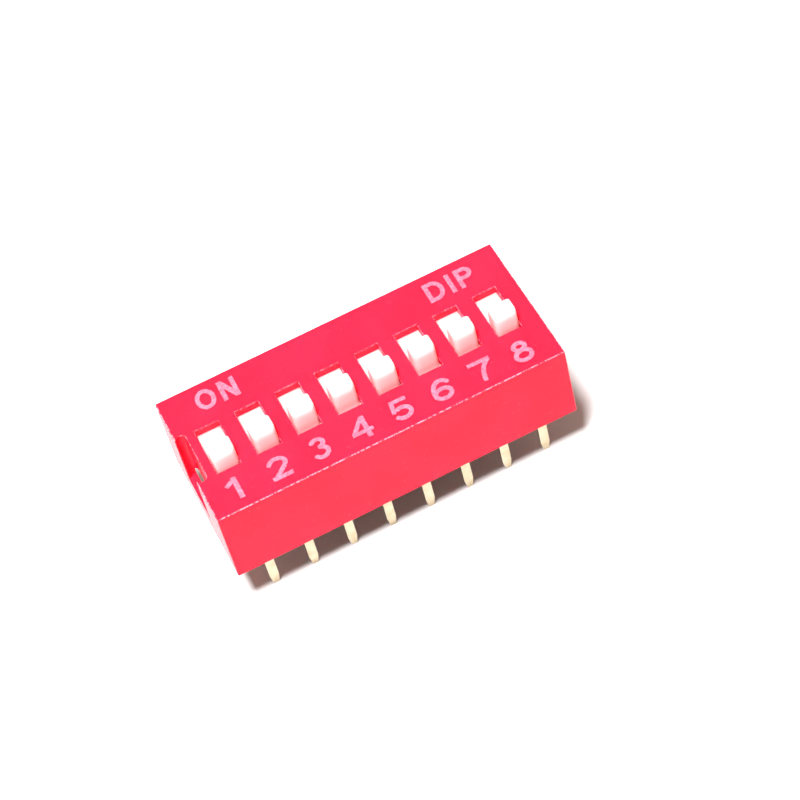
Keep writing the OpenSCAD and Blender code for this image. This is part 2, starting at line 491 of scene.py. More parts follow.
class EffectLibrary:
    """Builds each shared effect once and hands out its node group."""

    def __init__(self) -> None:
        """Starts with no group built."""
        self.built: dict[Effect, bpy.types.NodeTree] = {}

    def group(self, effect: Effect) -> bpy.types.NodeTree:
        """Gives an effect's node group, built when it is first asked for.

        Args:
            effect: The effect.

        Returns:
            Its node tree.
        """
        if effect not in self.built:
            makers = {
                Effect.GRAIN: self.grain,
                Effect.MOTTLE: self.mottle,
                Effect.EDGE_WEAR: self.edge_wear,
                Effect.SCRATCHES: self.scratches,
                Effect.SPECKS: self.specks,
            }
            self.built[effect] = makers[effect](effect.value)
        return self.built[effect]

    def start(self, name: str, ports: Sequence[Port]) -> tuple[Graph, bpy.types.Node, bpy.types.Node]:
        """Starts a node group.

        Args:
            name: The group's name.
            ports: Its sockets.

        Returns:
            Its graph, its input node and its output node.
        """
        tree = bpy.data.node_groups.new(name, "ShaderNodeTree")
        for port in ports:
            port.add_to(tree)
        return Graph(tree), tree.nodes.new("NodeGroupInput"), tree.nodes.new("NodeGroupOutput")

    def grain(self, name: str) -> bpy.types.NodeTree:
        """Builds the fine texture and slight waviness of a moulded face.

        Args:
            name: The group's name.

        Returns:
            A group that turns Scale (per millimetre) and Waviness into Height and Patch.
        """
        outputs = [Port("Height", out=True), Port("Patch", out=True)]
        ports = [Port("Scale", 20.0), Port("Waviness", 0.5), *outputs]
        graph, into, out = self.start(name, ports)
        here = graph.place_mm()
        fine = graph.add("TexNoise", vector=here, scale=into.outputs["Scale"], detail=3.0, roughness=0.6)
        broad = graph.add("TexNoise", vector=here, scale=0.9, detail=1.0)
        wave = graph.math("MULTIPLY", broad.outputs[0], into.outputs["Waviness"])
        graph.join(graph.math("ADD", fine.outputs[0], wave), out.inputs["Height"])
        patch = graph.add("TexNoise", vector=here, scale=2.3, detail=4.0, roughness=0.65)
        graph.join(graph.ramp(patch.outputs[0], low=0.35, high=0.68), out.inputs["Patch"])
        return graph.tree

    def mottle(self, name: str) -> bpy.types.NodeTree:
        """Builds a slow change between two near colours.

        Args:
            name: The group's name.

        Returns:
            A group that mixes Color and Other into Color by a cloudy pattern of Scale per millimetre and of a
            given Detail.
        """
        ports = [
            Port("Color", (0.5, 0.5, 0.5)),
            Port("Other", (0.4, 0.4, 0.4)),
            Port("Scale", 1.0),
            Port("Detail", 5.0),
            Port("Color", (0.5, 0.5, 0.5), out=True),
        ]
        graph, into, out = self.start(name, ports)
        size, fine = into.outputs["Scale"], into.outputs["Detail"]
        cloud = graph.add("TexNoise", vector=graph.place_mm(), scale=size, detail=fine, roughness=0.6)
        share = graph.ramp(cloud.outputs[0], low=0.3, high=0.72)
        mixed = graph.blend(share, into.outputs["Color"], into.outputs["Other"])
        graph.join(mixed, out.inputs["Color"])
        return graph.tree

    def edge_wear(self, name: str) -> bpy.types.NodeTree:
        """Builds a broken mask along rounded edges, where a face's normal leaves the three main directions.

        Args:
            name: The group's name.

        Returns:
            A group that turns Scale (per millimetre), Amount and Upright (the share that upright edges get)
            into Mask.
        """
        ports = [Port("Scale", 6.0), Port("Amount", 0.5), Port("Upright", 1.0), Port("Mask", out=True)]
        graph, into, out = self.start(name, ports)
        normal = graph.add("TexCoord").outputs["Normal"]
        size = graph.add("VectorMath", {"operation": "ABSOLUTE"}, i0=normal).outputs[0]
        parts = graph.add("SeparateXYZ", vector=size).outputs
        main = graph.math("MAXIMUM", graph.math("MAXIMUM", parts[0], parts[1]), parts[2])
        level = graph.ramp(parts[2], low=0.1, high=0.3)
        turned = graph.math("MAXIMUM", level, into.outputs["Upright"])
        lean = graph.ramp(graph.math("SUBTRACT", 1.0, main), low=0.02, high=0.2)
        round_part = graph.math("MULTIPLY", turned, lean)
        fine = into.outputs["Scale"]
        edge_marking = graph.add("TexNoise", vector=graph.place_mm(), scale=fine, detail=4.0, roughness=0.7)
        low = graph.math("SUBTRACT", 0.75, graph.math("MULTIPLY", into.outputs["Amount"], 0.5))
        broken = graph.ramp(edge_marking.outputs[0], low, graph.math("ADD", low, 0.12))
        # Where the plastics use this mask, the paler edge is partly wear and partly a painted highlight.
        graph.join(graph.math("MULTIPLY", round_part, broken), out.inputs["Mask"])
        return graph.tree

    def scratches(self, name: str) -> bpy.types.NodeTree:
        """Builds a few short hairline scratches in scattered directions.

        Args:
            name: The group's name.

        Returns:
            A group that turns Amount into Mask.
        """
        ports = [Port("Amount", 0.5), Port("Mask", out=True)]
        graph, into, out = self.start(name, ports)
        here = graph.place_mm()
        masks = []
        edges = {"feature": "DISTANCE_TO_EDGE"}
        for turn, seed in ((0.5, 0.0), (-0.8, 7.3), (1.35, 19.1)):
            long = {"rotation": (0.3, 0.5, turn), "scale": (0.22, 4.5, 4.5)}
            laid = graph.add("Mapping", vector=here, location=(seed, seed, 0), **long)
            hair = graph.add("TexVoronoi", edges, vector=laid.outputs[0], scale=0.55)
            thin = graph.math("SUBTRACT", 1.0, graph.ramp(hair.outputs[0], low=0.0, high=0.012))
            where = graph.add("TexNoise", vector=here, scale=0.8 + 0.13 * seed, detail=2.0)
            masks.append(graph.math("MULTIPLY", thin, graph.ramp(where.outputs[0], low=0.6, high=0.68)))
        total = graph.math("MAXIMUM", graph.math("MAXIMUM", masks[0], masks[1]), masks[2])
        graph.join(graph.math("MULTIPLY", total, into.outputs["Amount"]), out.inputs["Mask"])
        return graph.tree

    def specks(self, name: str) -> bpy.types.NodeTree:
        """Builds small scattered dots.

        Args:
            name: The group's name.

        Returns:
            A group that turns Scale (per millimetre), Size and Share into Mask.
        """
        ports = [Port("Scale", 3.0), Port("Size", 0.1), Port("Share", 0.2), Port("Mask", out=True)]
        graph, into, out = self.start(name, ports)
        cells = graph.add("TexVoronoi", vector=graph.place_mm(), scale=into.outputs["Scale"])
        dot = graph.math("LESS_THAN", cells.outputs["Distance"], into.outputs["Size"])
        pick = graph.add("SeparateColor", color=cells.outputs["Color"]).outputs[0]
        kept = graph.math("LESS_THAN", pick, into.outputs["Share"])
        graph.join(graph.math("MULTIPLY", dot, kept), out.inputs["Mask"])
        return graph.tree


EFFECTS = EffectLibrary()


# --- Finishes ---


@dataclass(frozen=True)
class Finish:
    """What every finish has: a name, a base colour and the Principled shader's plain values."""

    name: str
    color: Color
    roughness: float
    metallic: float = 0.0

    def material(self) -> bpy.types.Material:
        """Builds the material.

        Returns:
            The material, dressed by the finish's own dress().
        """
        made = bpy.data.materials.new(self.name)
        made.use_nodes = True
        made.diffuse_color = (*self.color, 1.0)
        shader = next(n for n in made.node_tree.nodes if n.type == "BSDF_PRINCIPLED")
        shader.inputs["Metallic"].default_value = self.metallic
        self.dress(Graph(made.node_tree), shader)
        return made

    def dress(self, graph: Graph, shader: bpy.types.Node) -> None:
        """Adds the finish's pattern to the material's nodes and its Principled shader."""
        raise NotImplementedError

    def effect(self, graph: Graph, effect: Effect, **inputs: object) -> bpy.types.bpy_prop_collection:
        """Places a shared effect in the material and gives its outputs."""
        return graph.add("Group", {"node_tree": EFFECTS.group(effect)}, **inputs).outputs

    def clouded(self, graph: Graph, other: Color, **inputs: object) -> bpy.types.NodeSocket:
        """Mixes the finish's colour with a near one, in clouds of a given scale and detail."""
        colors = {"color": (*self.color, 1.0), "other": (*other, 1.0)}
        return self.effect(graph, Effect.MOTTLE, **colors, **inputs)[0]

    def bump(self, graph: Graph, shader: bpy.types.Node, height: object, depth: float) -> None:
        """Joins a height to the shader's normal, where a height of 1 is as deep as depth in millimetres."""
        made = graph.add("Bump", strength=1.0, distance=depth * MM, height=height)
        graph.join(made.outputs[0], shader.inputs["Normal"])


@dataclass(frozen=True)
class MouldedPlastic(Finish):
    """Injection-moulded plastic: fine grain, slow colour change, and paler edges of wear and painted
    highlight.
    """

    other: Color = (0.5, 0.5, 0.5)
    # Colour of the rounded edges: partly wear, partly a painted highlight.
    worn: Color = (0.9, 0.9, 0.9)
    wear: float = 0.5
    wear_scale: float = 7.0
    worn_change: float = 0.15
    patch_change: float = 0.03
    grain_scale: float = 22.0
    grain_depth: float = 0.0006
    waviness: float = 2.0
    scratch: float = 0.4
    scratch_depth: float = 2.0
    shine: float = 0.5
    clouds: float = 0.7
    soft_share: float = 0.25
    soft_depth: float = 0.0
    soft_color: Color = (1.0, 0.7, 0.5)

    def dress(self, graph: Graph, shader: bpy.types.Node) -> None:
        """Adds grain, mottle, scratches, and edge wear with a painted highlight.

        Args:
            graph: The material's nodes.
            shader: Its Principled shader.
        """
        base = self.clouded(graph, self.other, scale=self.clouds, detail=1.0)
        edge_marking = {"scale": self.wear_scale, "amount": self.wear, "upright": 0.0}
        rubbed = self.effect(graph, Effect.EDGE_WEAR, **edge_marking)[0]
        hairs = self.effect(graph, Effect.SCRATCHES, amount=self.scratch)[0]
        grain = self.effect(graph, Effect.GRAIN, scale=self.grain_scale, waviness=self.waviness)
        wear_scratch_and_highlight = graph.math("MAXIMUM", rubbed, hairs)
        # Paler colour along rounded edges and scratches: partly wear, partly a painted highlight on the
        # edges.
        graph.join(graph.blend(wear_scratch_and_highlight, base, (*self.worn, 1.0)), shader.inputs["Base Color"])
        change = graph.math("MULTIPLY", graph.math("SUBTRACT", grain["Patch"], MIDDLE), self.patch_change)
        duller = graph.math("MULTIPLY", wear_scratch_and_highlight, self.worn_change)
        rough = graph.math("ADD", graph.math("ADD", change, self.roughness), duller)
        graph.join(rough, shader.inputs["Roughness"])
        height = graph.math("SUBTRACT", grain["Height"], graph.math("MULTIPLY", hairs, self.scratch_depth))
        self.bump(graph, shader, height, self.grain_depth)
        shader.inputs["Specular IOR Level"].default_value = self.shine
        if self.soft_depth:
            shader.inputs["Subsurface Weight"].default_value = self.soft_share
            shader.inputs["Subsurface Radius"].default_value = self.soft_color
            shader.inputs["Subsurface Scale"].default_value = self.soft_depth * MM


@dataclass(frozen=True)
class RubbedPlastic(MouldedPlastic):
    """Moulded plastic with a painted red bounce: another colour on its upright faces, up to a height."""

    # Painted red bounce: this colour on the foot's upright faces stands in for red light from the cover.
    rubbed: Color = (0.8, 0.43, 0.45)
    rub_rise: Point = (8.7, 9.25)
    flat_from: Point = (0.3, 0.7)

    def dress(self, graph: Graph, shader: bpy.types.Node) -> None:
        """Adds the painted red bounce at the foot to the moulded plastic's pattern.

        Args:
            graph: The material's nodes.
            shader: Its Principled shader.
        """
        super().dress(graph, shader)
        base = shader.inputs["Base Color"].links[0].from_socket
        height = graph.add("SeparateXYZ", vector=graph.place_mm()).outputs[2]
        lean = graph.add("SeparateXYZ", vector=graph.add("TexCoord").outputs["Normal"]).outputs[2]
        flat = graph.ramp(graph.math("ABSOLUTE", lean), *self.flat_from)
        # clean is where the painted red bounce stops: flat faces, and upright faces above the rise.
        clean = graph.math("MAXIMUM", flat, graph.ramp(height, *self.rub_rise))
        graph.join(graph.blend(clean, (*self.rubbed, 1.0), base), shader.inputs["Base Color"])


@dataclass(frozen=True)
class PrintedInk(Finish):
    """Pad-printed ink, uneven and pitted, so that a little of the plastic shows through."""

    under: Color = (0.8, 0.02, 0.05)
    light: Color = (0.9, 0.3, 0.6)
    clouds: float = 6.0
    pit_scale: float = 11.0
    pit_size: float = 0.3
    pit_share: float = 0.13
    show_through: float = 0.55
    tooth_scale: float = 24.0
    patch_change: float = 0.12
    depth: float = 0.002

    def dress(self, graph: Graph, shader: bpy.types.Node) -> None:
        """Adds light patches and pits.

        Args:
            graph: The material's nodes.
            shader: Its Principled shader.
        """
        base = self.clouded(graph, self.light, scale=self.clouds)
        spread = {"scale": self.pit_scale, "size": self.pit_size, "share": self.pit_share}
        pits = self.effect(graph, Effect.SPECKS, **spread)[0]
        seen = graph.math("MULTIPLY", pits, self.show_through)
        graph.join(graph.blend(seen, base, (*self.under, 1.0)), shader.inputs["Base Color"])
        grain = self.effect(graph, Effect.GRAIN, scale=self.tooth_scale, waviness=0.0)
        patch = graph.math("MULTIPLY", grain["Patch"], self.patch_change)
        graph.join(graph.math("ADD", patch, self.roughness), shader.inputs["Roughness"])
        self.bump(graph, shader, graph.math("SUBTRACT", grain["Height"], pits), self.depth)


@dataclass(frozen=True)
class PlatedStrip(Finish):
    """Stamped and plated strip: drawn streaks, dull patches and brighter sheared edges."""

    dull: Color = (0.5, 0.45, 0.35)
    bright: Color = (0.95, 0.9, 0.8)
    streaks: tuple[float, float, float] = (14.0, 14.0, 0.9)
    streak_change: float = 0.3
    clouds: float = 1.6
    edge_scale: float = 5.0
    depth: float = 0.0012

    def dress(self, graph: Graph, shader: bpy.types.Node) -> None:
        """Adds streaks, tarnish and bright edges.

        Args:
            graph: The material's nodes.
            shader: Its Principled shader.
        """
        base = self.clouded(graph, self.dull, scale=self.clouds)
        edges = self.effect(graph, Effect.EDGE_WEAR, scale=self.edge_scale, amount=1.0)[0]
        graph.join(graph.blend(edges, base, (*self.bright, 1.0)), shader.inputs["Base Color"])
        laid = graph.add("Mapping", vector=graph.place_mm(), scale=self.streaks)
        lines = graph.add("TexNoise", vector=laid.outputs[0], scale=1.0, detail=4.0, roughness=0.7)
        change = graph.math("MULTIPLY", graph.math("SUBTRACT", lines.outputs[0], MIDDLE), self.streak_change)
        graph.join(graph.math("ADD", change, self.roughness), shader.inputs["Roughness"])
        self.bump(graph, shader, lines.outputs[0], self.depth)


def paler(color: Color, share: float) -> Color:
    """Gives a colour made lighter by a factor, up to white."""
    return tuple(min(1.0, share * part) for part in color)


@dataclass(frozen=True)
class CastResin(Finish):
    """Potting resin: smooth, with a slow swell and a few bubbles."""

    lighter: float = 1.8
    clouds: float = 1.2
    swell_scale: float = 3.0
    swell: float = 3.0
    bubble_scale: float = 2.2
    bubble_size: float = 0.16
    bubble_share: float = 0.3
    patch_change: float = 0.15
    depth: float = 0.01

    def dress(self, graph: Graph, shader: bpy.types.Node) -> None:
        """Adds swell and bubbles.

        Args:
            graph: The material's nodes.
            shader: Its Principled shader.
        """
        base = self.clouded(graph, paler(self.color, self.lighter), scale=self.clouds)
        graph.join(base, shader.inputs["Base Color"])
        grain = self.effect(graph, Effect.GRAIN, scale=self.swell_scale, waviness=self.swell)
        spread = {"scale": self.bubble_scale, "size": self.bubble_size, "share": self.bubble_share}
        bubbles = self.effect(graph, Effect.SPECKS, **spread)[0]
        self.bump(graph, shader, graph.math("SUBTRACT", grain["Height"], bubbles), self.depth)
        patch = graph.math("MULTIPLY", grain["Patch"], self.patch_change)
        graph.join(graph.math("ADD", patch, self.roughness), shader.inputs["Roughness"])


@dataclass(frozen=True)
class Paper(Finish):
    """The plain pale floor, a little paler far from the switch."""

    far: Color = (0.92, 0.92, 0.92)
    reach: Point = (60.0, 200.0)
    lighter: float = 1.02
    clouds: float = 0.4

    def dress(self, graph: Graph, shader: bpy.types.Node) -> None:
        """Adds faint clouds and the paler far floor.

        Args:
            graph: The material's nodes.
            shader: Its Principled shader.
        """
        base = self.clouded(graph, paler(self.color, self.lighter), scale=self.clouds)
        away = graph.add("VectorMath", {"operation": "LENGTH"}, i0=graph.place_mm()).outputs["Value"]
        mixed = graph.blend(graph.ramp(away, *self.reach), base, (*self.far, 1.0))
        graph.join(mixed, shader.inputs["Base Color"])
        shader.inputs["Roughness"].default_value = self.roughness


# The cover's paler edge colour is partly wear and partly a painted highlight along its rounded edges.
COVER_RED = MouldedPlastic(
    "red_cover_plastic", (0.8, 0.013, 0.042), 0.26, other=(0.8, 0.016, 0.05), worn=(0.95, 0.35, 0.45),
    wear=0.6, grain_depth=0.0002, shine=0.08, clouds=0.25, scratch=0.03, waviness=0.5, soft_share=0.9,
    soft_depth=0.5, soft_color=(1.0, 0.1, 0.12),
)
# Painted bounce: the white slider's colours are tinted pink to stand in for red light bounced from the cover.
SLIDER_WHITE = RubbedPlastic(
    "white_slider_plastic", (0.8, 0.6, 0.6), 0.36, other=(0.77, 0.58, 0.58), worn=(0.84, 0.66, 0.65),
    wear=0.3, scratch=0.0, soft_share=1.0, soft_depth=1.2, soft_color=(0.8, 1.0, 1.0), shine=0.4,
)
BASE_BLACK = MouldedPlastic(
    "black_base_plastic", (0.022, 0.022, 0.024), 0.5, other=(0.03, 0.03, 0.032), worn=(0.1, 0.1, 0.1),
    wear=0.4, grain_scale=16.0, grain_depth=0.003, scratch=0.5,
)
PRINT_PINK = PrintedInk(
    "pink_print_ink", (0.42, 0.075, 0.14), 0.5, light=(0.48, 0.18, 0.265), under=(0.42, 0.03, 0.07)
)
LEAD_PLATING = PlatedStrip("pale_lead_plating", (0.6, 0.52, 0.38), 0.36, 1.0, dull=(0.48, 0.4, 0.25))
CONTACT_PLATING = PlatedStrip("gold_contact_plating", (0.95, 0.7, 0.3), 0.22, 1.0, dull=(0.85, 0.6, 0.24))
SEAL_RESIN = CastResin("dark_seal_resin", (0.03, 0.022, 0.018), 0.22)
FLOOR_WHITE = Paper("white_floor", (0.76, 0.76, 0.76), 0.7)


# --- Cover ---


@dataclass
class Cover:
    """The red cover: a deck with a window for each slider, four walls, and a notch in one end."""

    deck_t: float = 0.5
    side_wall_t: float = 0.55
    end_wall_t: float = 0.515
    end_gap: float = 0.16
    inner_wall_t: float = 0.27
    step_depth: float = 3.2
    end_draft: float = 0.05
    slider_fit: float = 0.04
    window: Point = (1.48, 3.43)
    window_y: float = -0.06
    border: Point = (0.03, 0.05)
    border_d: float = 0.03
    notch_l: float = 3.66
    notch_mouth: float = 3.3
    notch_lip: float = 0.055
    notch_depth: float = 3.7
    past: float = 0.5
    edge_r: float = 0.1
    corner_r: float = 0.09
    foot_r: float = 0.03
    border_r: float = 0.015
    notch_r: float = 0.045
    arc_steps: int = 20

    def build(self, positions: Sequence[float]) -> None:
        """Makes the cover.

        Args:
            positions: Middle of each slider along the row.
        """
        low, high = node_box("cover")
        plate = node_box("slider_1")
        self.foot, self.top = low.z, high.z
        self.half_w = high.y
        self.half_l = high.x - self.end_draft
        self.bay_half_w = self.half_w - self.side_wall_t
        self.bay_half_l = positions[-1] + (plate[1].x - plate[0].x) / 2 + self.slider_fit
        self.inner_x = self.bay_half_l + self.inner_wall_t
        self.gap_x = self.inner_x + self.end_gap
        chambers = [self.chamber(x) for x in positions]
        windows = [tool for x in positions for tool in self.window_cutters(x)]
        body = combine(self.shell(), [*self.hollows(), *chambers], Combining.CUT)
        body = combine(body, [*windows, self.notch_slot()], Combining.CUT)
        body = combine(body, [self.notch_mouth_cutter()], Combining.CUT)
        ends = (self.window_y - self.window[1] / 2, self.window_y + self.window[1] / 2)
        mesh = softened(parted(body, ends), self.radius_at, segments=4)
        place(mesh, "red_cover", COVER_RED.material(), HOUSING, Slot.COVER, ["cover"])

    def shell(self) -> bmesh.types.BMesh:
        """Makes the outer block, whose end walls lean out a little at the foot.

        Returns:
            The closed mesh.
        """
        rings = []
        for lean, z in ((self.end_draft, self.foot), (0.0, self.top)):
            x = self.half_l + lean
            rings.append([(sx * x, sy * self.half_w, z) for sx, sy in ((-1, -1), (1, -1), (1, 1), (-1, 1))])
        return loft(rings)

    def hollows(self) -> list[bmesh.types.BMesh]:
        """Makes the room for the base, wider at both ends below the step.

        Returns:
            The two cutters.
        """
        y = self.bay_half_w
        base_top = node_box("base")[1].z
        below = self.foot - self.past
        step = self.top - self.step_depth
        room = block((-self.bay_half_l, -y, below), (self.bay_half_l, y, base_top))
        foot_room = block((-self.gap_x, -y, below), (self.gap_x, y, step))
        return [room, foot_room]

    def chamber(self, x: float) -> bmesh.types.BMesh:
        """Makes the room of one slider under the deck.

        Args:
            x: The slider's middle.

        Returns:
            The cutter.
        """
        low, high = node_box("slider_1")
        half = (high.x - low.x) / 2 + self.slider_fit
        y = self.bay_half_w
        return block((x - half, -y, low.z - self.past), (x + half, y, self.top - self.deck_t))

    def window_cutters(self, x: float) -> list[bmesh.types.BMesh]:
        """Makes the window of one slider and the sunk border around it.

        Args:
            x: The slider's middle.

        Returns:
            The two cutters.
        """
        half_w, half_l = self.window[0] / 2, self.window[1] / 2
        above = self.top + self.past
        y = self.window_y
        hole = block((x - half_w, y - half_l, self.top - 2 * self.deck_t), (x + half_w, y + half_l, above))
        half_w, half_l = half_w + self.border[0], half_l + self.border[1]
        border = block((x - half_w, y - half_l, self.top - self.border_d), (x + half_w, y + half_l, above))
        return [hole, border]

    def notch_slot(self) -> bmesh.types.BMesh:
        """Makes the round-ended slot of the notch.

        Returns:
            The cutter.
        """
        r = (self.end_gap + self.end_wall_t - self.notch_lip) / 2
        middle = -self.inner_x - r
        reach = self.notch_l / 2 - r
        turns = evenly(0, math.pi, self.arc_steps)
        outline = [(middle + r * math.cos(a), reach + r * math.sin(a)) for a in turns]
        outline += [(middle - r * math.cos(a), -reach - r * math.sin(a)) for a in turns]
        bottom = self.top - self.notch_depth
        return loft([[(x, y, z) for x, y in outline] for z in (bottom, self.top + self.past)])

    def notch_mouth_cutter(self) -> bmesh.types.BMesh:
        """Makes the mouth that opens the notch through the end wall.

        Returns:
            The cutter.
        """
        y = self.notch_mouth / 2
        inner = -self.inner_x - self.end_gap / 2 - self.end_wall_t / 2
        bottom = self.top - self.notch_depth
        return block((-self.half_l - self.past, -y, bottom), (inner, y, self.top + self.past))

    def radius_at(self, edge: bmesh.types.BMEdge) -> float:
        """Tells how round an edge of the cover is.

        Args:
            edge: The edge.

        Returns:
            Its radius in millimetres.
        """
        if edge.calc_face_angle(0.0) < SHARP_ANGLE:
            return 0.0
        a, b = (v.co for v in edge.verts)
        upright = abs(a.z - b.z) > TOUCH
        on_top = min(a.z, b.z) > self.top - TOUCH
        on_side = min(abs(a.y), abs(b.y)) > self.half_w - TOUCH
        on_end = min(abs(a.x), abs(b.x)) > self.half_l - TOUCH
        past_wall = max(a.x, b.x) < -self.inner_x + TOUCH
        in_notch = past_wall and max(abs(a.y), abs(b.y)) < self.notch_l / 2 + TOUCH
        if on_side and on_end and upright:
            return self.corner_r
        if on_top and in_notch:
            return self.notch_r if not (on_end and abs(a.x - b.x) < TOUCH) else self.edge_r
        if on_top and (on_side or on_end):
            return self.edge_r
        if on_top:
            return self.border_r
        if max(a.z, b.z) < self.foot + TOUCH and (on_side or on_end):
            return self.foot_r
        if in_notch and upright and on_end:
            return self.notch_r
        if min(a.z, b.z) > self.top - self.border_d - TOUCH and not upright:
            return self.border_r
        return 0.0


# --- Sliders ---


@dataclass
class Sliders:
    """The white sliders: each a plate under the deck with a rounded knob."""

    plate_t: float = 0.6
    knob: Point = (1.42, 1.2)
    front_round: Point = (0.25, 0.5)
    back_round: Point = (0.35, 0.35)
    side_round: Point = (0.12, 0.2)
    front_corner_r: Point = (0.24, 0.3)
    corner_rise: Point = (0.3, 1.3)
    back_corner_r: float = 0.16
    straight: float = 0.02
    plate_r: float = 0.04
    seat: Point = (1.1, 1.4)
    seat_depth: float = 0.15
    corner_steps: int = 6
    level_steps: int = 10

    def build(self, count: int) -> None:
        """Makes all sliders.

        Args:
            count: How many there are.
        """
        finish = SLIDER_WHITE.material()
        for number in range(1, count + 1):
            node = f"slider_{number}"
            mesh = softened(self.solid(*node_box(node)), self.radius_at)
            place(mesh, f"white_slider_{number}", finish, node, Slot.SLIDER, [node])

    def solid(self, low: Vector, high: Vector) -> bmesh.types.BMesh:
        """Makes one slider with sharp plate edges.

        Args:
            low: Lowest corner of the slider.
            high: Highest corner.

        Returns:
            The closed mesh.
        """
        self.plate_top = low.z + self.plate_t
        middle = (low + high) / 2
        plate = block(low, (high.x, high.y, self.plate_top))
        half_x, half_y = self.seat[0] / 2, self.seat[1] / 2
        seat = block(
            (middle.x - half_x, middle.y - half_y, low.z - self.seat_depth),
            (middle.x + half_x, middle.y + half_y, low.z + self.seat_depth),
        )
        rings = [self.ring(middle, z, high.z) for z in self.levels(high.z)]
        whole = combine(plate, [loft(rings)], Combining.MERGE)
        return parted(combine(whole, [seat], Combining.CUT), [middle.y])

    def levels(self, top: float) -> list[float]:
        """Gives the heights of the knob's rings.

        Args:
            top: Height of the knob's top.

        Returns:
            Heights from inside the plate up to the top, close together where the knob is rounded.
        """
        drops = (self.front_round[1], self.side_round[1])
        turns = evenly(0, math.pi / 2, self.level_steps)
        rising = {round(top - drop + drop * math.sin(a), 5) for drop in drops for a in turns}
        rising.add(self.plate_top + self.corner_rise[0])
        return [self.plate_top - self.plate_t / 2, *sorted(rising)]

    def ring(self, middle: Vector, z: float, top: float) -> list[tuple[float, float, float]]:
        """Gives the knob's outline at one height.

        Args:
            middle: Middle of the slider.
            z: The height.
            top: Height of the knob's top.

        Returns:
            The ring's points, anticlockwise seen from above.
        """
        x_half = self.knob[0] / 2 - shrink(z, top, self.side_round)
        front = middle.y - self.knob[1] / 2 + shrink(z, top, self.front_round)
        back = middle.y + self.knob[1] / 2 - shrink(z, top, self.back_round)
        share = (z - self.plate_top - self.corner_rise[0]) / (self.corner_rise[1] - self.corner_rise[0])
        low, high = self.front_corner_r
        far = self.back_corner_r
        near = min(low + (high - low) * min(1.0, max(0.0, share)), back - front - far - self.straight)
        corners = (
            (x_half - near, front + near, near, -90),
            (x_half - far, back - far, far, 0),
            (far - x_half, back - far, far, 90),
            (near - x_half, front + near, near, 180),
        )
        points = []
        for x, y, r, start in corners:
            for turn in evenly(start, start + 90, self.corner_steps):
                a = math.radians(turn)
                points.append((middle.x + x + r * math.cos(a), y + r * math.sin(a), z))
        return points

    def radius_at(self, edge: bmesh.types.BMEdge) -> float:
        """Tells how round an edge of a slider is: only the plate's upper rim is rounded further.

        Args:
            edge: The edge.

        Returns:
            Its radius in millimetres.
        """
        if edge.calc_face_angle(0.0) < SHARP_ANGLE:
            return 0.0
        a, b = (v.co for v in edge.verts)
        rim = min(a.z, b.z) > self.plate_top - TOUCH and max(a.z, b.z) < self.plate_top + TOUCH
        return self.plate_r if rim and edge.is_convex else 0.0


def shrink(z: float, top: float, rounding: Point) -> float:
    """Tells how far a rounded top edge draws an outline in.

    Args:
        z: Height of the outline.
        top: Height of the top.
        rounding: The rounding's reach inwards and downwards.

    Returns:
        The distance, 0 below the rounding.
    """
    reach, drop = rounding
    rise = max(0.0, 1 - (top - z) / drop)
    return reach * (1 - math.sqrt(max(0.0, 1 - rise * rise)))


# --- Pieces that keep the frame's own form ---


@dataclass
class SoftenedNodes:
    """Frame nodes whose form is right as it is, with their edges rounded."""

    nodes: Sequence[str]
    finish: Finish
    slot: Slot
    radius: float
    prefix: str
    bodies: dict[str, str] = field(default_factory=dict)

    def build(self) -> None:
        """Makes one piece for each node."""
        material = self.finish.material()
        for node in self.nodes:
            mesh = softened(node_solid(node), crease_radius(self.radius))
            body = self.bodies.get(node, HOUSING)
            place(mesh, f"{self.prefix}_{node}", material, body, self.slot, [node])


# --- Print ---


@dataclass(frozen=True)
class Stroke:
    """One pen stroke of a printed sign."""

    points: tuple[Point, ...]
    width: float = 1.0


def line(*points: Point, width: float = 1.0) -> Stroke:
    """Makes a straight or bent stroke, its width a share of the print's pen."""
    return Stroke(points, width)


def arc(middle: Point, radii: Point, start: float, end: float, width: float = 1.0, steps: int = 24) -> Stroke:
    """Makes a stroke along part of an ellipse.

    Args:
        middle: The ellipse's middle.
        radii: Its half width and half height.
        start: Angle where the stroke starts, in degrees.
        end: Angle where it ends.
        width: Its width as a share of the print's pen.
        steps: Straight pieces that it is made of.

    Returns:
        The stroke.
    """
    turns = [math.radians(turn) for turn in evenly(start, end, steps)]
    points = tuple((middle[0] + radii[0] * math.cos(a), middle[1] + radii[1] * math.sin(a)) for a in turns)
    return Stroke(points, width)


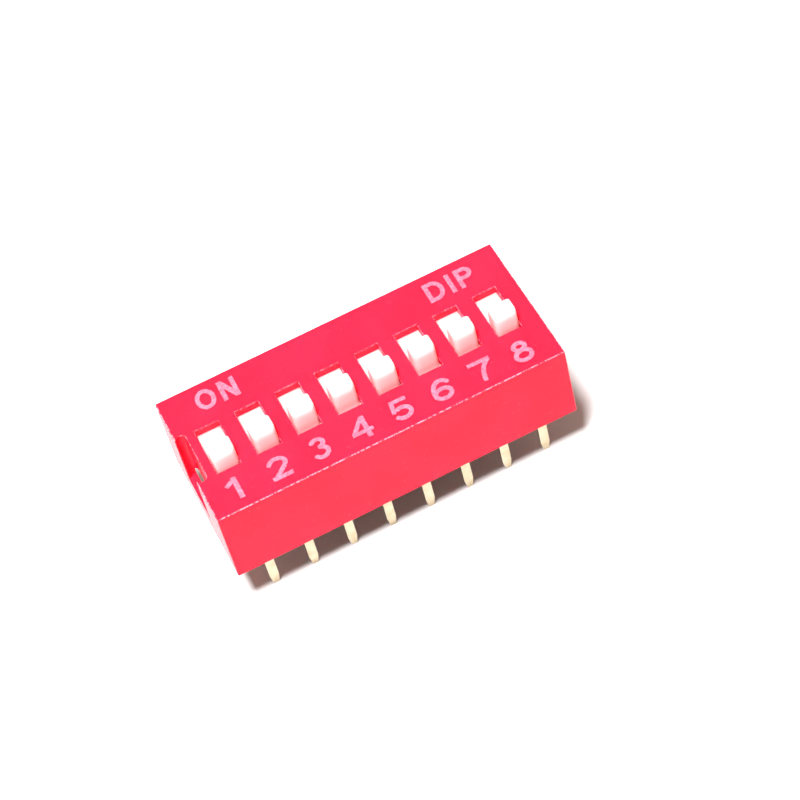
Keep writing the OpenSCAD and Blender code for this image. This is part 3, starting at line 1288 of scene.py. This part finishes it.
@dataclass
class Print:
    """The numbers in front of the sliders and the two words behind them, as thin raised ink."""

    pen: float = 0.27
    height: float = 1.58
    word_height: float = 1.5
    number_width: float = 1.24
    number_shift: float = -0.05
    number_y: float = -3.35
    word_y: float = 3.385
    word_shift: float = 0.09
    letter_gap: float = 0.31
    skew: float = math.radians(-0.5)
    proud: float = 0.006
    sunk: float = 0.004
    grid: float = 0.028
    ragged: float = 0.028
    ragged_size: float = 0.075
    margin: float = 0.1

    def build(self, positions: Sequence[float]) -> None:
        """Prints the numbers and the words.

        Args:
            positions: Middle of each slider along the row.
        """
        ink = PRINT_PINK.material()
        self.deck = node_box("cover")[1].z
        for number, x in enumerate(positions, 1):
            left = x + self.number_shift - self.number_width / 2
            made = bmesh.new()
            self.sign(made, str(number), (left, self.number_y - self.height / 2), self.height)
            self.lay(made, f"printed_number_{number}", ink)
        starts, ends = positions[0] + self.word_shift, positions[-1] + self.word_shift
        words = {"ON": starts, "DIP": ends - self.length("DIP")}
        for word, left in words.items():
            made = bmesh.new()
            for letter in word:
                self.sign(made, letter, (left, self.word_y - self.word_height / 2), self.word_height)
                left += self.width(letter) + self.letter_gap
            self.lay(made, f"printed_word_{word.lower()}", ink)

    def width(self, sign: str) -> float:
        """Gives a sign's width in millimetres."""
        widths = {"O": 1.21, "N": 1.05, "D": 1.12, "I": self.pen, "P": 1.02}
        return widths.get(sign, self.number_width)

    def length(self, word: str) -> float:
        """Gives a word's length in millimetres."""
        return sum(self.width(letter) for letter in word) + self.letter_gap * (len(word) - 1)

    def strokes(self, sign: str, w: float, h: float) -> list[Stroke]:
        """Draws a sign in plain upright strokes.

        Args:
            sign: The number or letter.
            w: Its width.
            h: Its height.

        Returns:
            Its strokes, whose middle lines lie half a pen inside the edges.
        """
        e = self.pen / 2
        signs = {
            "1": [line((0.61, 0), (0.61, h), width=1.1), line((0.02, h - 0.5), (0.62, h - 0.14), width=0.95)],
            "2": [
                arc((w / 2, h - 0.5), (w / 2 - e, 0.5 - e), 170, -38),
                line((w - 0.27, h - 0.77), (0.2, e)),
                line((0, e), (w, e), width=1.05),
            ],
            "3": [
                arc((w / 2 - 0.03, h - 0.42), (w / 2 - 0.14 - e, 0.42 - e), 160, -90),
                arc((w / 2 - 0.03, 0.49), (w / 2 - 0.08 - e, 0.49 - e), 90, -160),
            ],
            "4": [
                line((0.93, 0), (0.93, h), width=1.05),
                line((0.9, h - 0.08), (0.08, 0.5), width=0.95),
                line((0, 0.5), (w + 0.04, 0.5), width=0.9),
            ],
            "5": [
                line((0.2, h - e), (w - 0.1, h - e), width=0.95),
                line((0.27, h), (0.14, 0.66), width=0.95),
                arc((w / 2, 0.52), (w / 2 - e, 0.52 - e), 128, -158),
            ],
            "6": [
                arc((w / 2, 0.5), (w / 2 - e, 0.5 - e), 0, 360),
                arc((w / 2 + 0.1, 0.62), (w / 2 + 0.1 - e, h - 0.62 - e), 180, 40),
            ],
            "7": [
                line((0, h - e), (w, h - e), width=0.95),
                arc((w + 0.42, -0.12), (1.12, 1.62), 100, 176),
            ],
            "8": [
                arc((w / 2, h - 0.4), (0.475 - e, 0.4 - e), 0, 360),
                arc((w / 2, 0.5), (0.605 - e, 0.5 - e), 0, 360),
            ],
            "O": [arc((w / 2, h / 2), (w / 2 - e, h / 2 - e), 0, 360, steps=40)],
            "N": [line((e, 0), (e, h)), line((w - e, 0), (w - e, h)), line((e, h), (w - e, 0), width=1.15)],
            "D": [
                line((e, 0), (e, h)),
                line((e, h - e), (0.5, h - e)),
                line((e, e), (0.5, e)),
                arc((0.5, h / 2), (w - 0.5 - e, h / 2 - e), 90, -90, steps=30),
            ],
            "I": [line((e, 0), (e, h))],
            "P": [
                line((e, 0), (e, h)),
                line((e, h - e), (0.55, h - e)),
                line((e, h - 0.9 + e), (0.55, h - 0.9 + e)),
                arc((0.55, h - 0.45), (w - 0.55 - e, 0.45 - e), 90, -90),
            ],
        }
        return signs[sign]

    def depth(self, sign: str, x: np.ndarray, y: np.ndarray, w: float, h: float) -> np.ndarray:
        """Measures how far points lie outside a sign's ink.

        Args:
            sign: The number or letter.
            x: The points' places across.
            y: The points' places up.
            w: The sign's width.
            h: Its height.

        Returns:
            Distances, below 0 inside the ink.
        """
        nearest = np.full(x.shape, np.inf)
        for stroke in self.strokes(sign, w, h):
            half = stroke.width * self.pen / 2
            for a, b in zip(stroke.points, stroke.points[1:]):
                run = math.dist(a, b)
                ux, uy = (b[0] - a[0]) / run, (b[1] - a[1]) / run
                along = (x - a[0]) * ux + (y - a[1]) * uy
                across = np.abs((y - a[1]) * ux - (x - a[0]) * uy)
                nearest = np.minimum(nearest, np.maximum(across - half, np.maximum(-along, along - run)))
            for px, py in stroke.points[1:-1]:
                nearest = np.minimum(nearest, np.hypot(x - px, y - py) - half)
        return np.maximum(nearest, np.maximum(-y, y - h))

    def sign(self, made: bmesh.types.BMesh, sign: str, corner: Point, h: float) -> None:
        """Adds one sign's ink, traced on a fine grid with slightly ragged edges.

        Args:
            made: The mesh that the sign goes into.
            sign: The number or letter.
            corner: Its lower left corner on the deck.
            h: Its height.
        """
        w = self.width(sign)
        columns, rows = (math.ceil((size + 2 * self.margin) / self.grid) for size in (w, h))
        across, up = (np.arange(n + 1) * self.grid - self.margin for n in (columns, rows))
        x, y = np.meshgrid(across, up)
        value = self.depth(sign, x, y, w, h)
        for place_index in np.ndindex(value.shape):
            spot = Vector((x[place_index] + corner[0], y[place_index] + corner[1], 0)) / self.ragged_size
            value[place_index] += self.ragged * noise.noise(spot)
        corners: dict[tuple, bmesh.types.BMVert] = {}

        def vertex(a: tuple[int, int], b: tuple[int, int]) -> bmesh.types.BMVert:
            """Gives the point between two grid places where the ink ends.

            Args:
                a: Row and column of the first place.
                b: Row and column of the second, or a again for the point at a itself.

            Returns:
                The point, made when it is first asked for.
            """
            key = (a, b) if a <= b else (b, a)
            if key not in corners:
                share = 0.0 if a == b else value[a] / (value[a] - value[b])
                px = x[a] + share * (x[b] - x[a]) + corner[0]
                py = y[a] + share * (y[b] - y[a]) + corner[1]
                corners[key] = made.verts.new((px, py, self.deck + self.proud))
            return corners[key]

        for r in range(rows):
            for c in range(columns):
                cell = ((r, c), (r, c + 1), (r + 1, c + 1), (r + 1, c))
                ring = []
                for a, b in zip(cell, cell[1:] + cell[:1]):
                    if value[a] < 0:
                        ring.append(vertex(a, a))
                    if (value[a] < 0) != (value[b] < 0):
                        ring.append(vertex(a, b))
                if len(ring) > 2:
                    made.faces.new(ring)

    def lay(self, made: bmesh.types.BMesh, name: str, ink: bpy.types.Material) -> None:
        """Gives flat ink its thickness, turns it by the print's skew and places it.

        Args:
            made: The flat ink, which is used up.
            name: The piece's name.
            ink: The material.
        """
        faces = list(made.faces)
        grown = bmesh.ops.extrude_face_region(made, geom=faces, use_keep_orig=True)
        lowered = [item for item in grown["geom"] if isinstance(item, bmesh.types.BMVert)]
        bmesh.ops.translate(made, vec=(0, 0, -self.proud - self.sunk), verts=lowered)
        bmesh.ops.recalc_face_normals(made, faces=made.faces)
        made.transform(Matrix.Rotation(self.skew, 4, "Z"))
        place(meshed(made, name), name, ink, HOUSING)


# --- Studio ---


@dataclass
class Studio:
    """The pale floor, the soft light and the camera."""

    floor_half: float = 1000.0
    lens: float = 114.34
    azimuth: float = math.radians(12.756)
    elevation: float = math.radians(51.695)
    roll: float = math.radians(-15.874)
    distance: float = 143.06
    clip: Point = (10.0, 10000.0)
    aim: Point = (1.397, -2.748)
    key_strength: float = 1.0
    key_place: tuple[float, float, float] = (-34.0, -47.0, 191.0)
    key_size: float = 45.0
    sky: Color = (1.0, 0.82, 0.7)
    sky_strength: Point = (0.12, 0.42)
    sky_rear: Point = (-0.5, 0.3)
    sky_sides: float = 0.5
    sky_beside: Point = (0.3, 0.95)

    def build(self) -> None:
        """Makes the whole studio."""
        self.make_camera()
        self.make_floor()
        self.make_light()
        bpy.context.scene.view_settings.view_transform = "Standard"

    def make_camera(self) -> None:
        """Makes the camera, aimed at a point of the deck."""
        data = bpy.data.cameras.new("camera")
        data.lens = self.lens
        data.clip_start, data.clip_end = (limit * MM for limit in self.clip)
        camera = linked("camera", data)
        target = Vector((*self.aim, node_box("cover")[1].z)) * MM
        turned = Euler((math.pi / 2 - self.elevation, 0, -self.azimuth)).to_matrix()
        camera.location = target + turned @ Vector((0, 0, self.distance * MM))
        camera.rotation_euler = (turned @ Matrix.Rotation(self.roll, 3, "Z")).to_euler()
        bpy.context.scene.camera = camera

    def make_floor(self) -> None:
        """Makes the floor on the plane of the lead tips."""
        made = bmesh.new()
        half = self.floor_half * MM
        corners = ((-half, -half), (half, -half), (half, half), (-half, half))
        made.faces.new([made.verts.new((x, y, 0)) for x, y in corners])
        mesh = meshed(made, "floor")
        mesh.materials.append(FLOOR_WHITE.material())
        floor = linked("floor", mesh)

    def make_light(self) -> None:
        """Makes the key light and a warm sky, dimmest towards -Y and brighter towards both ends of the row.

        The camera sees the sky as white.
        """
        self.make_lamp("key", self.key_place, self.key_size, self.key_strength)
        world = bpy.data.worlds.new("sky")
        world.use_nodes = True
        bpy.context.scene.world = world
        graph = Graph(world.node_tree)
        graph.tree.nodes.clear()
        towards = graph.add("SeparateXYZ", vector=graph.add("TexCoord").outputs["Generated"]).outputs
        dim, bright = self.sky_strength
        share = graph.ramp(towards[1], *self.sky_rear)
        aside = graph.ramp(graph.math("ABSOLUTE", towards[0]), *self.sky_beside)
        beside = graph.math("MULTIPLY", aside, self.sky_sides)
        behind = graph.math("MULTIPLY", share, bright - dim)
        strength = graph.math("ADD", graph.math("ADD", dim, beside), behind)
        lit = graph.add("Background", color=(*self.sky, 1.0), strength=strength)
        seen = graph.add("Background", color=(1, 1, 1, 1), strength=1.0)
        ray = graph.add("LightPath").outputs["Is Camera Ray"]
        both = graph.add("MixShader", i0=ray, i1=lit.outputs[0], i2=seen.outputs[0])
        out = graph.tree.nodes.new("ShaderNodeOutputWorld")
        graph.join(both.outputs[0], out.inputs[0])

    def make_lamp(self, name: str, spot: Sequence[float], size: float, strength: float) -> None:
        """Makes a round lamp that faces the switch.

        Args:
            name: Its name.
            spot: Where it stands, in millimetres.
            size: Its width in millimetres.
            strength: Its power in watts.
        """
        data = bpy.data.lights.new(name, "AREA")
        data.shape = "DISK"
        data.size = size * MM
        data.energy = strength
        lamp = linked(name, data)
        there = Vector([part * MM for part in spot])
        lamp.location = there
        lamp.rotation_euler = there.to_track_quat("Z", "Y").to_euler()


def main() -> None:
    """Builds the studio and every sub-assembly, in order."""
    logging.basicConfig(level=logging.INFO, format="%(name)s: %(message)s")
    Studio().build()
    count = sum(node.startswith("slider_") for node in frame["nodes"])
    numbers = range(1, count + 1)
    boxes = [node_box(f"slider_{n}") for n in numbers]
    positions = [(low.x + high.x) / 2 for low, high in boxes]
    Cover().build(positions)
    Sliders().build(count)
    Print().build(positions)
    SoftenedNodes(["base"], BASE_BLACK, Slot.BASE, radius=0.05, prefix="black").build()
    seals = [f"{side.value}_lead_seal" for side in Side]
    SoftenedNodes(seals, SEAL_RESIN, Slot.SEAL, radius=0.03, prefix="resin").build()
    terminals = [f"{side.value}_terminal_{n}" for side in Side for n in numbers]
    SoftenedNodes(terminals, LEAD_PLATING, Slot.LEAD, radius=0.025, prefix="plated").build()
    contacts = [f"bridging_contact_{n}" for n in numbers]
    riding = {f"bridging_contact_{n}": f"slider_{n}" for n in numbers}
    gold = SoftenedNodes(contacts, CONTACT_PLATING, Slot.CONTACT, radius=0.015, prefix="gold", bodies=riding)
    gold.build()
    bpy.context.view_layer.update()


if __name__ == "__main__":
    main()
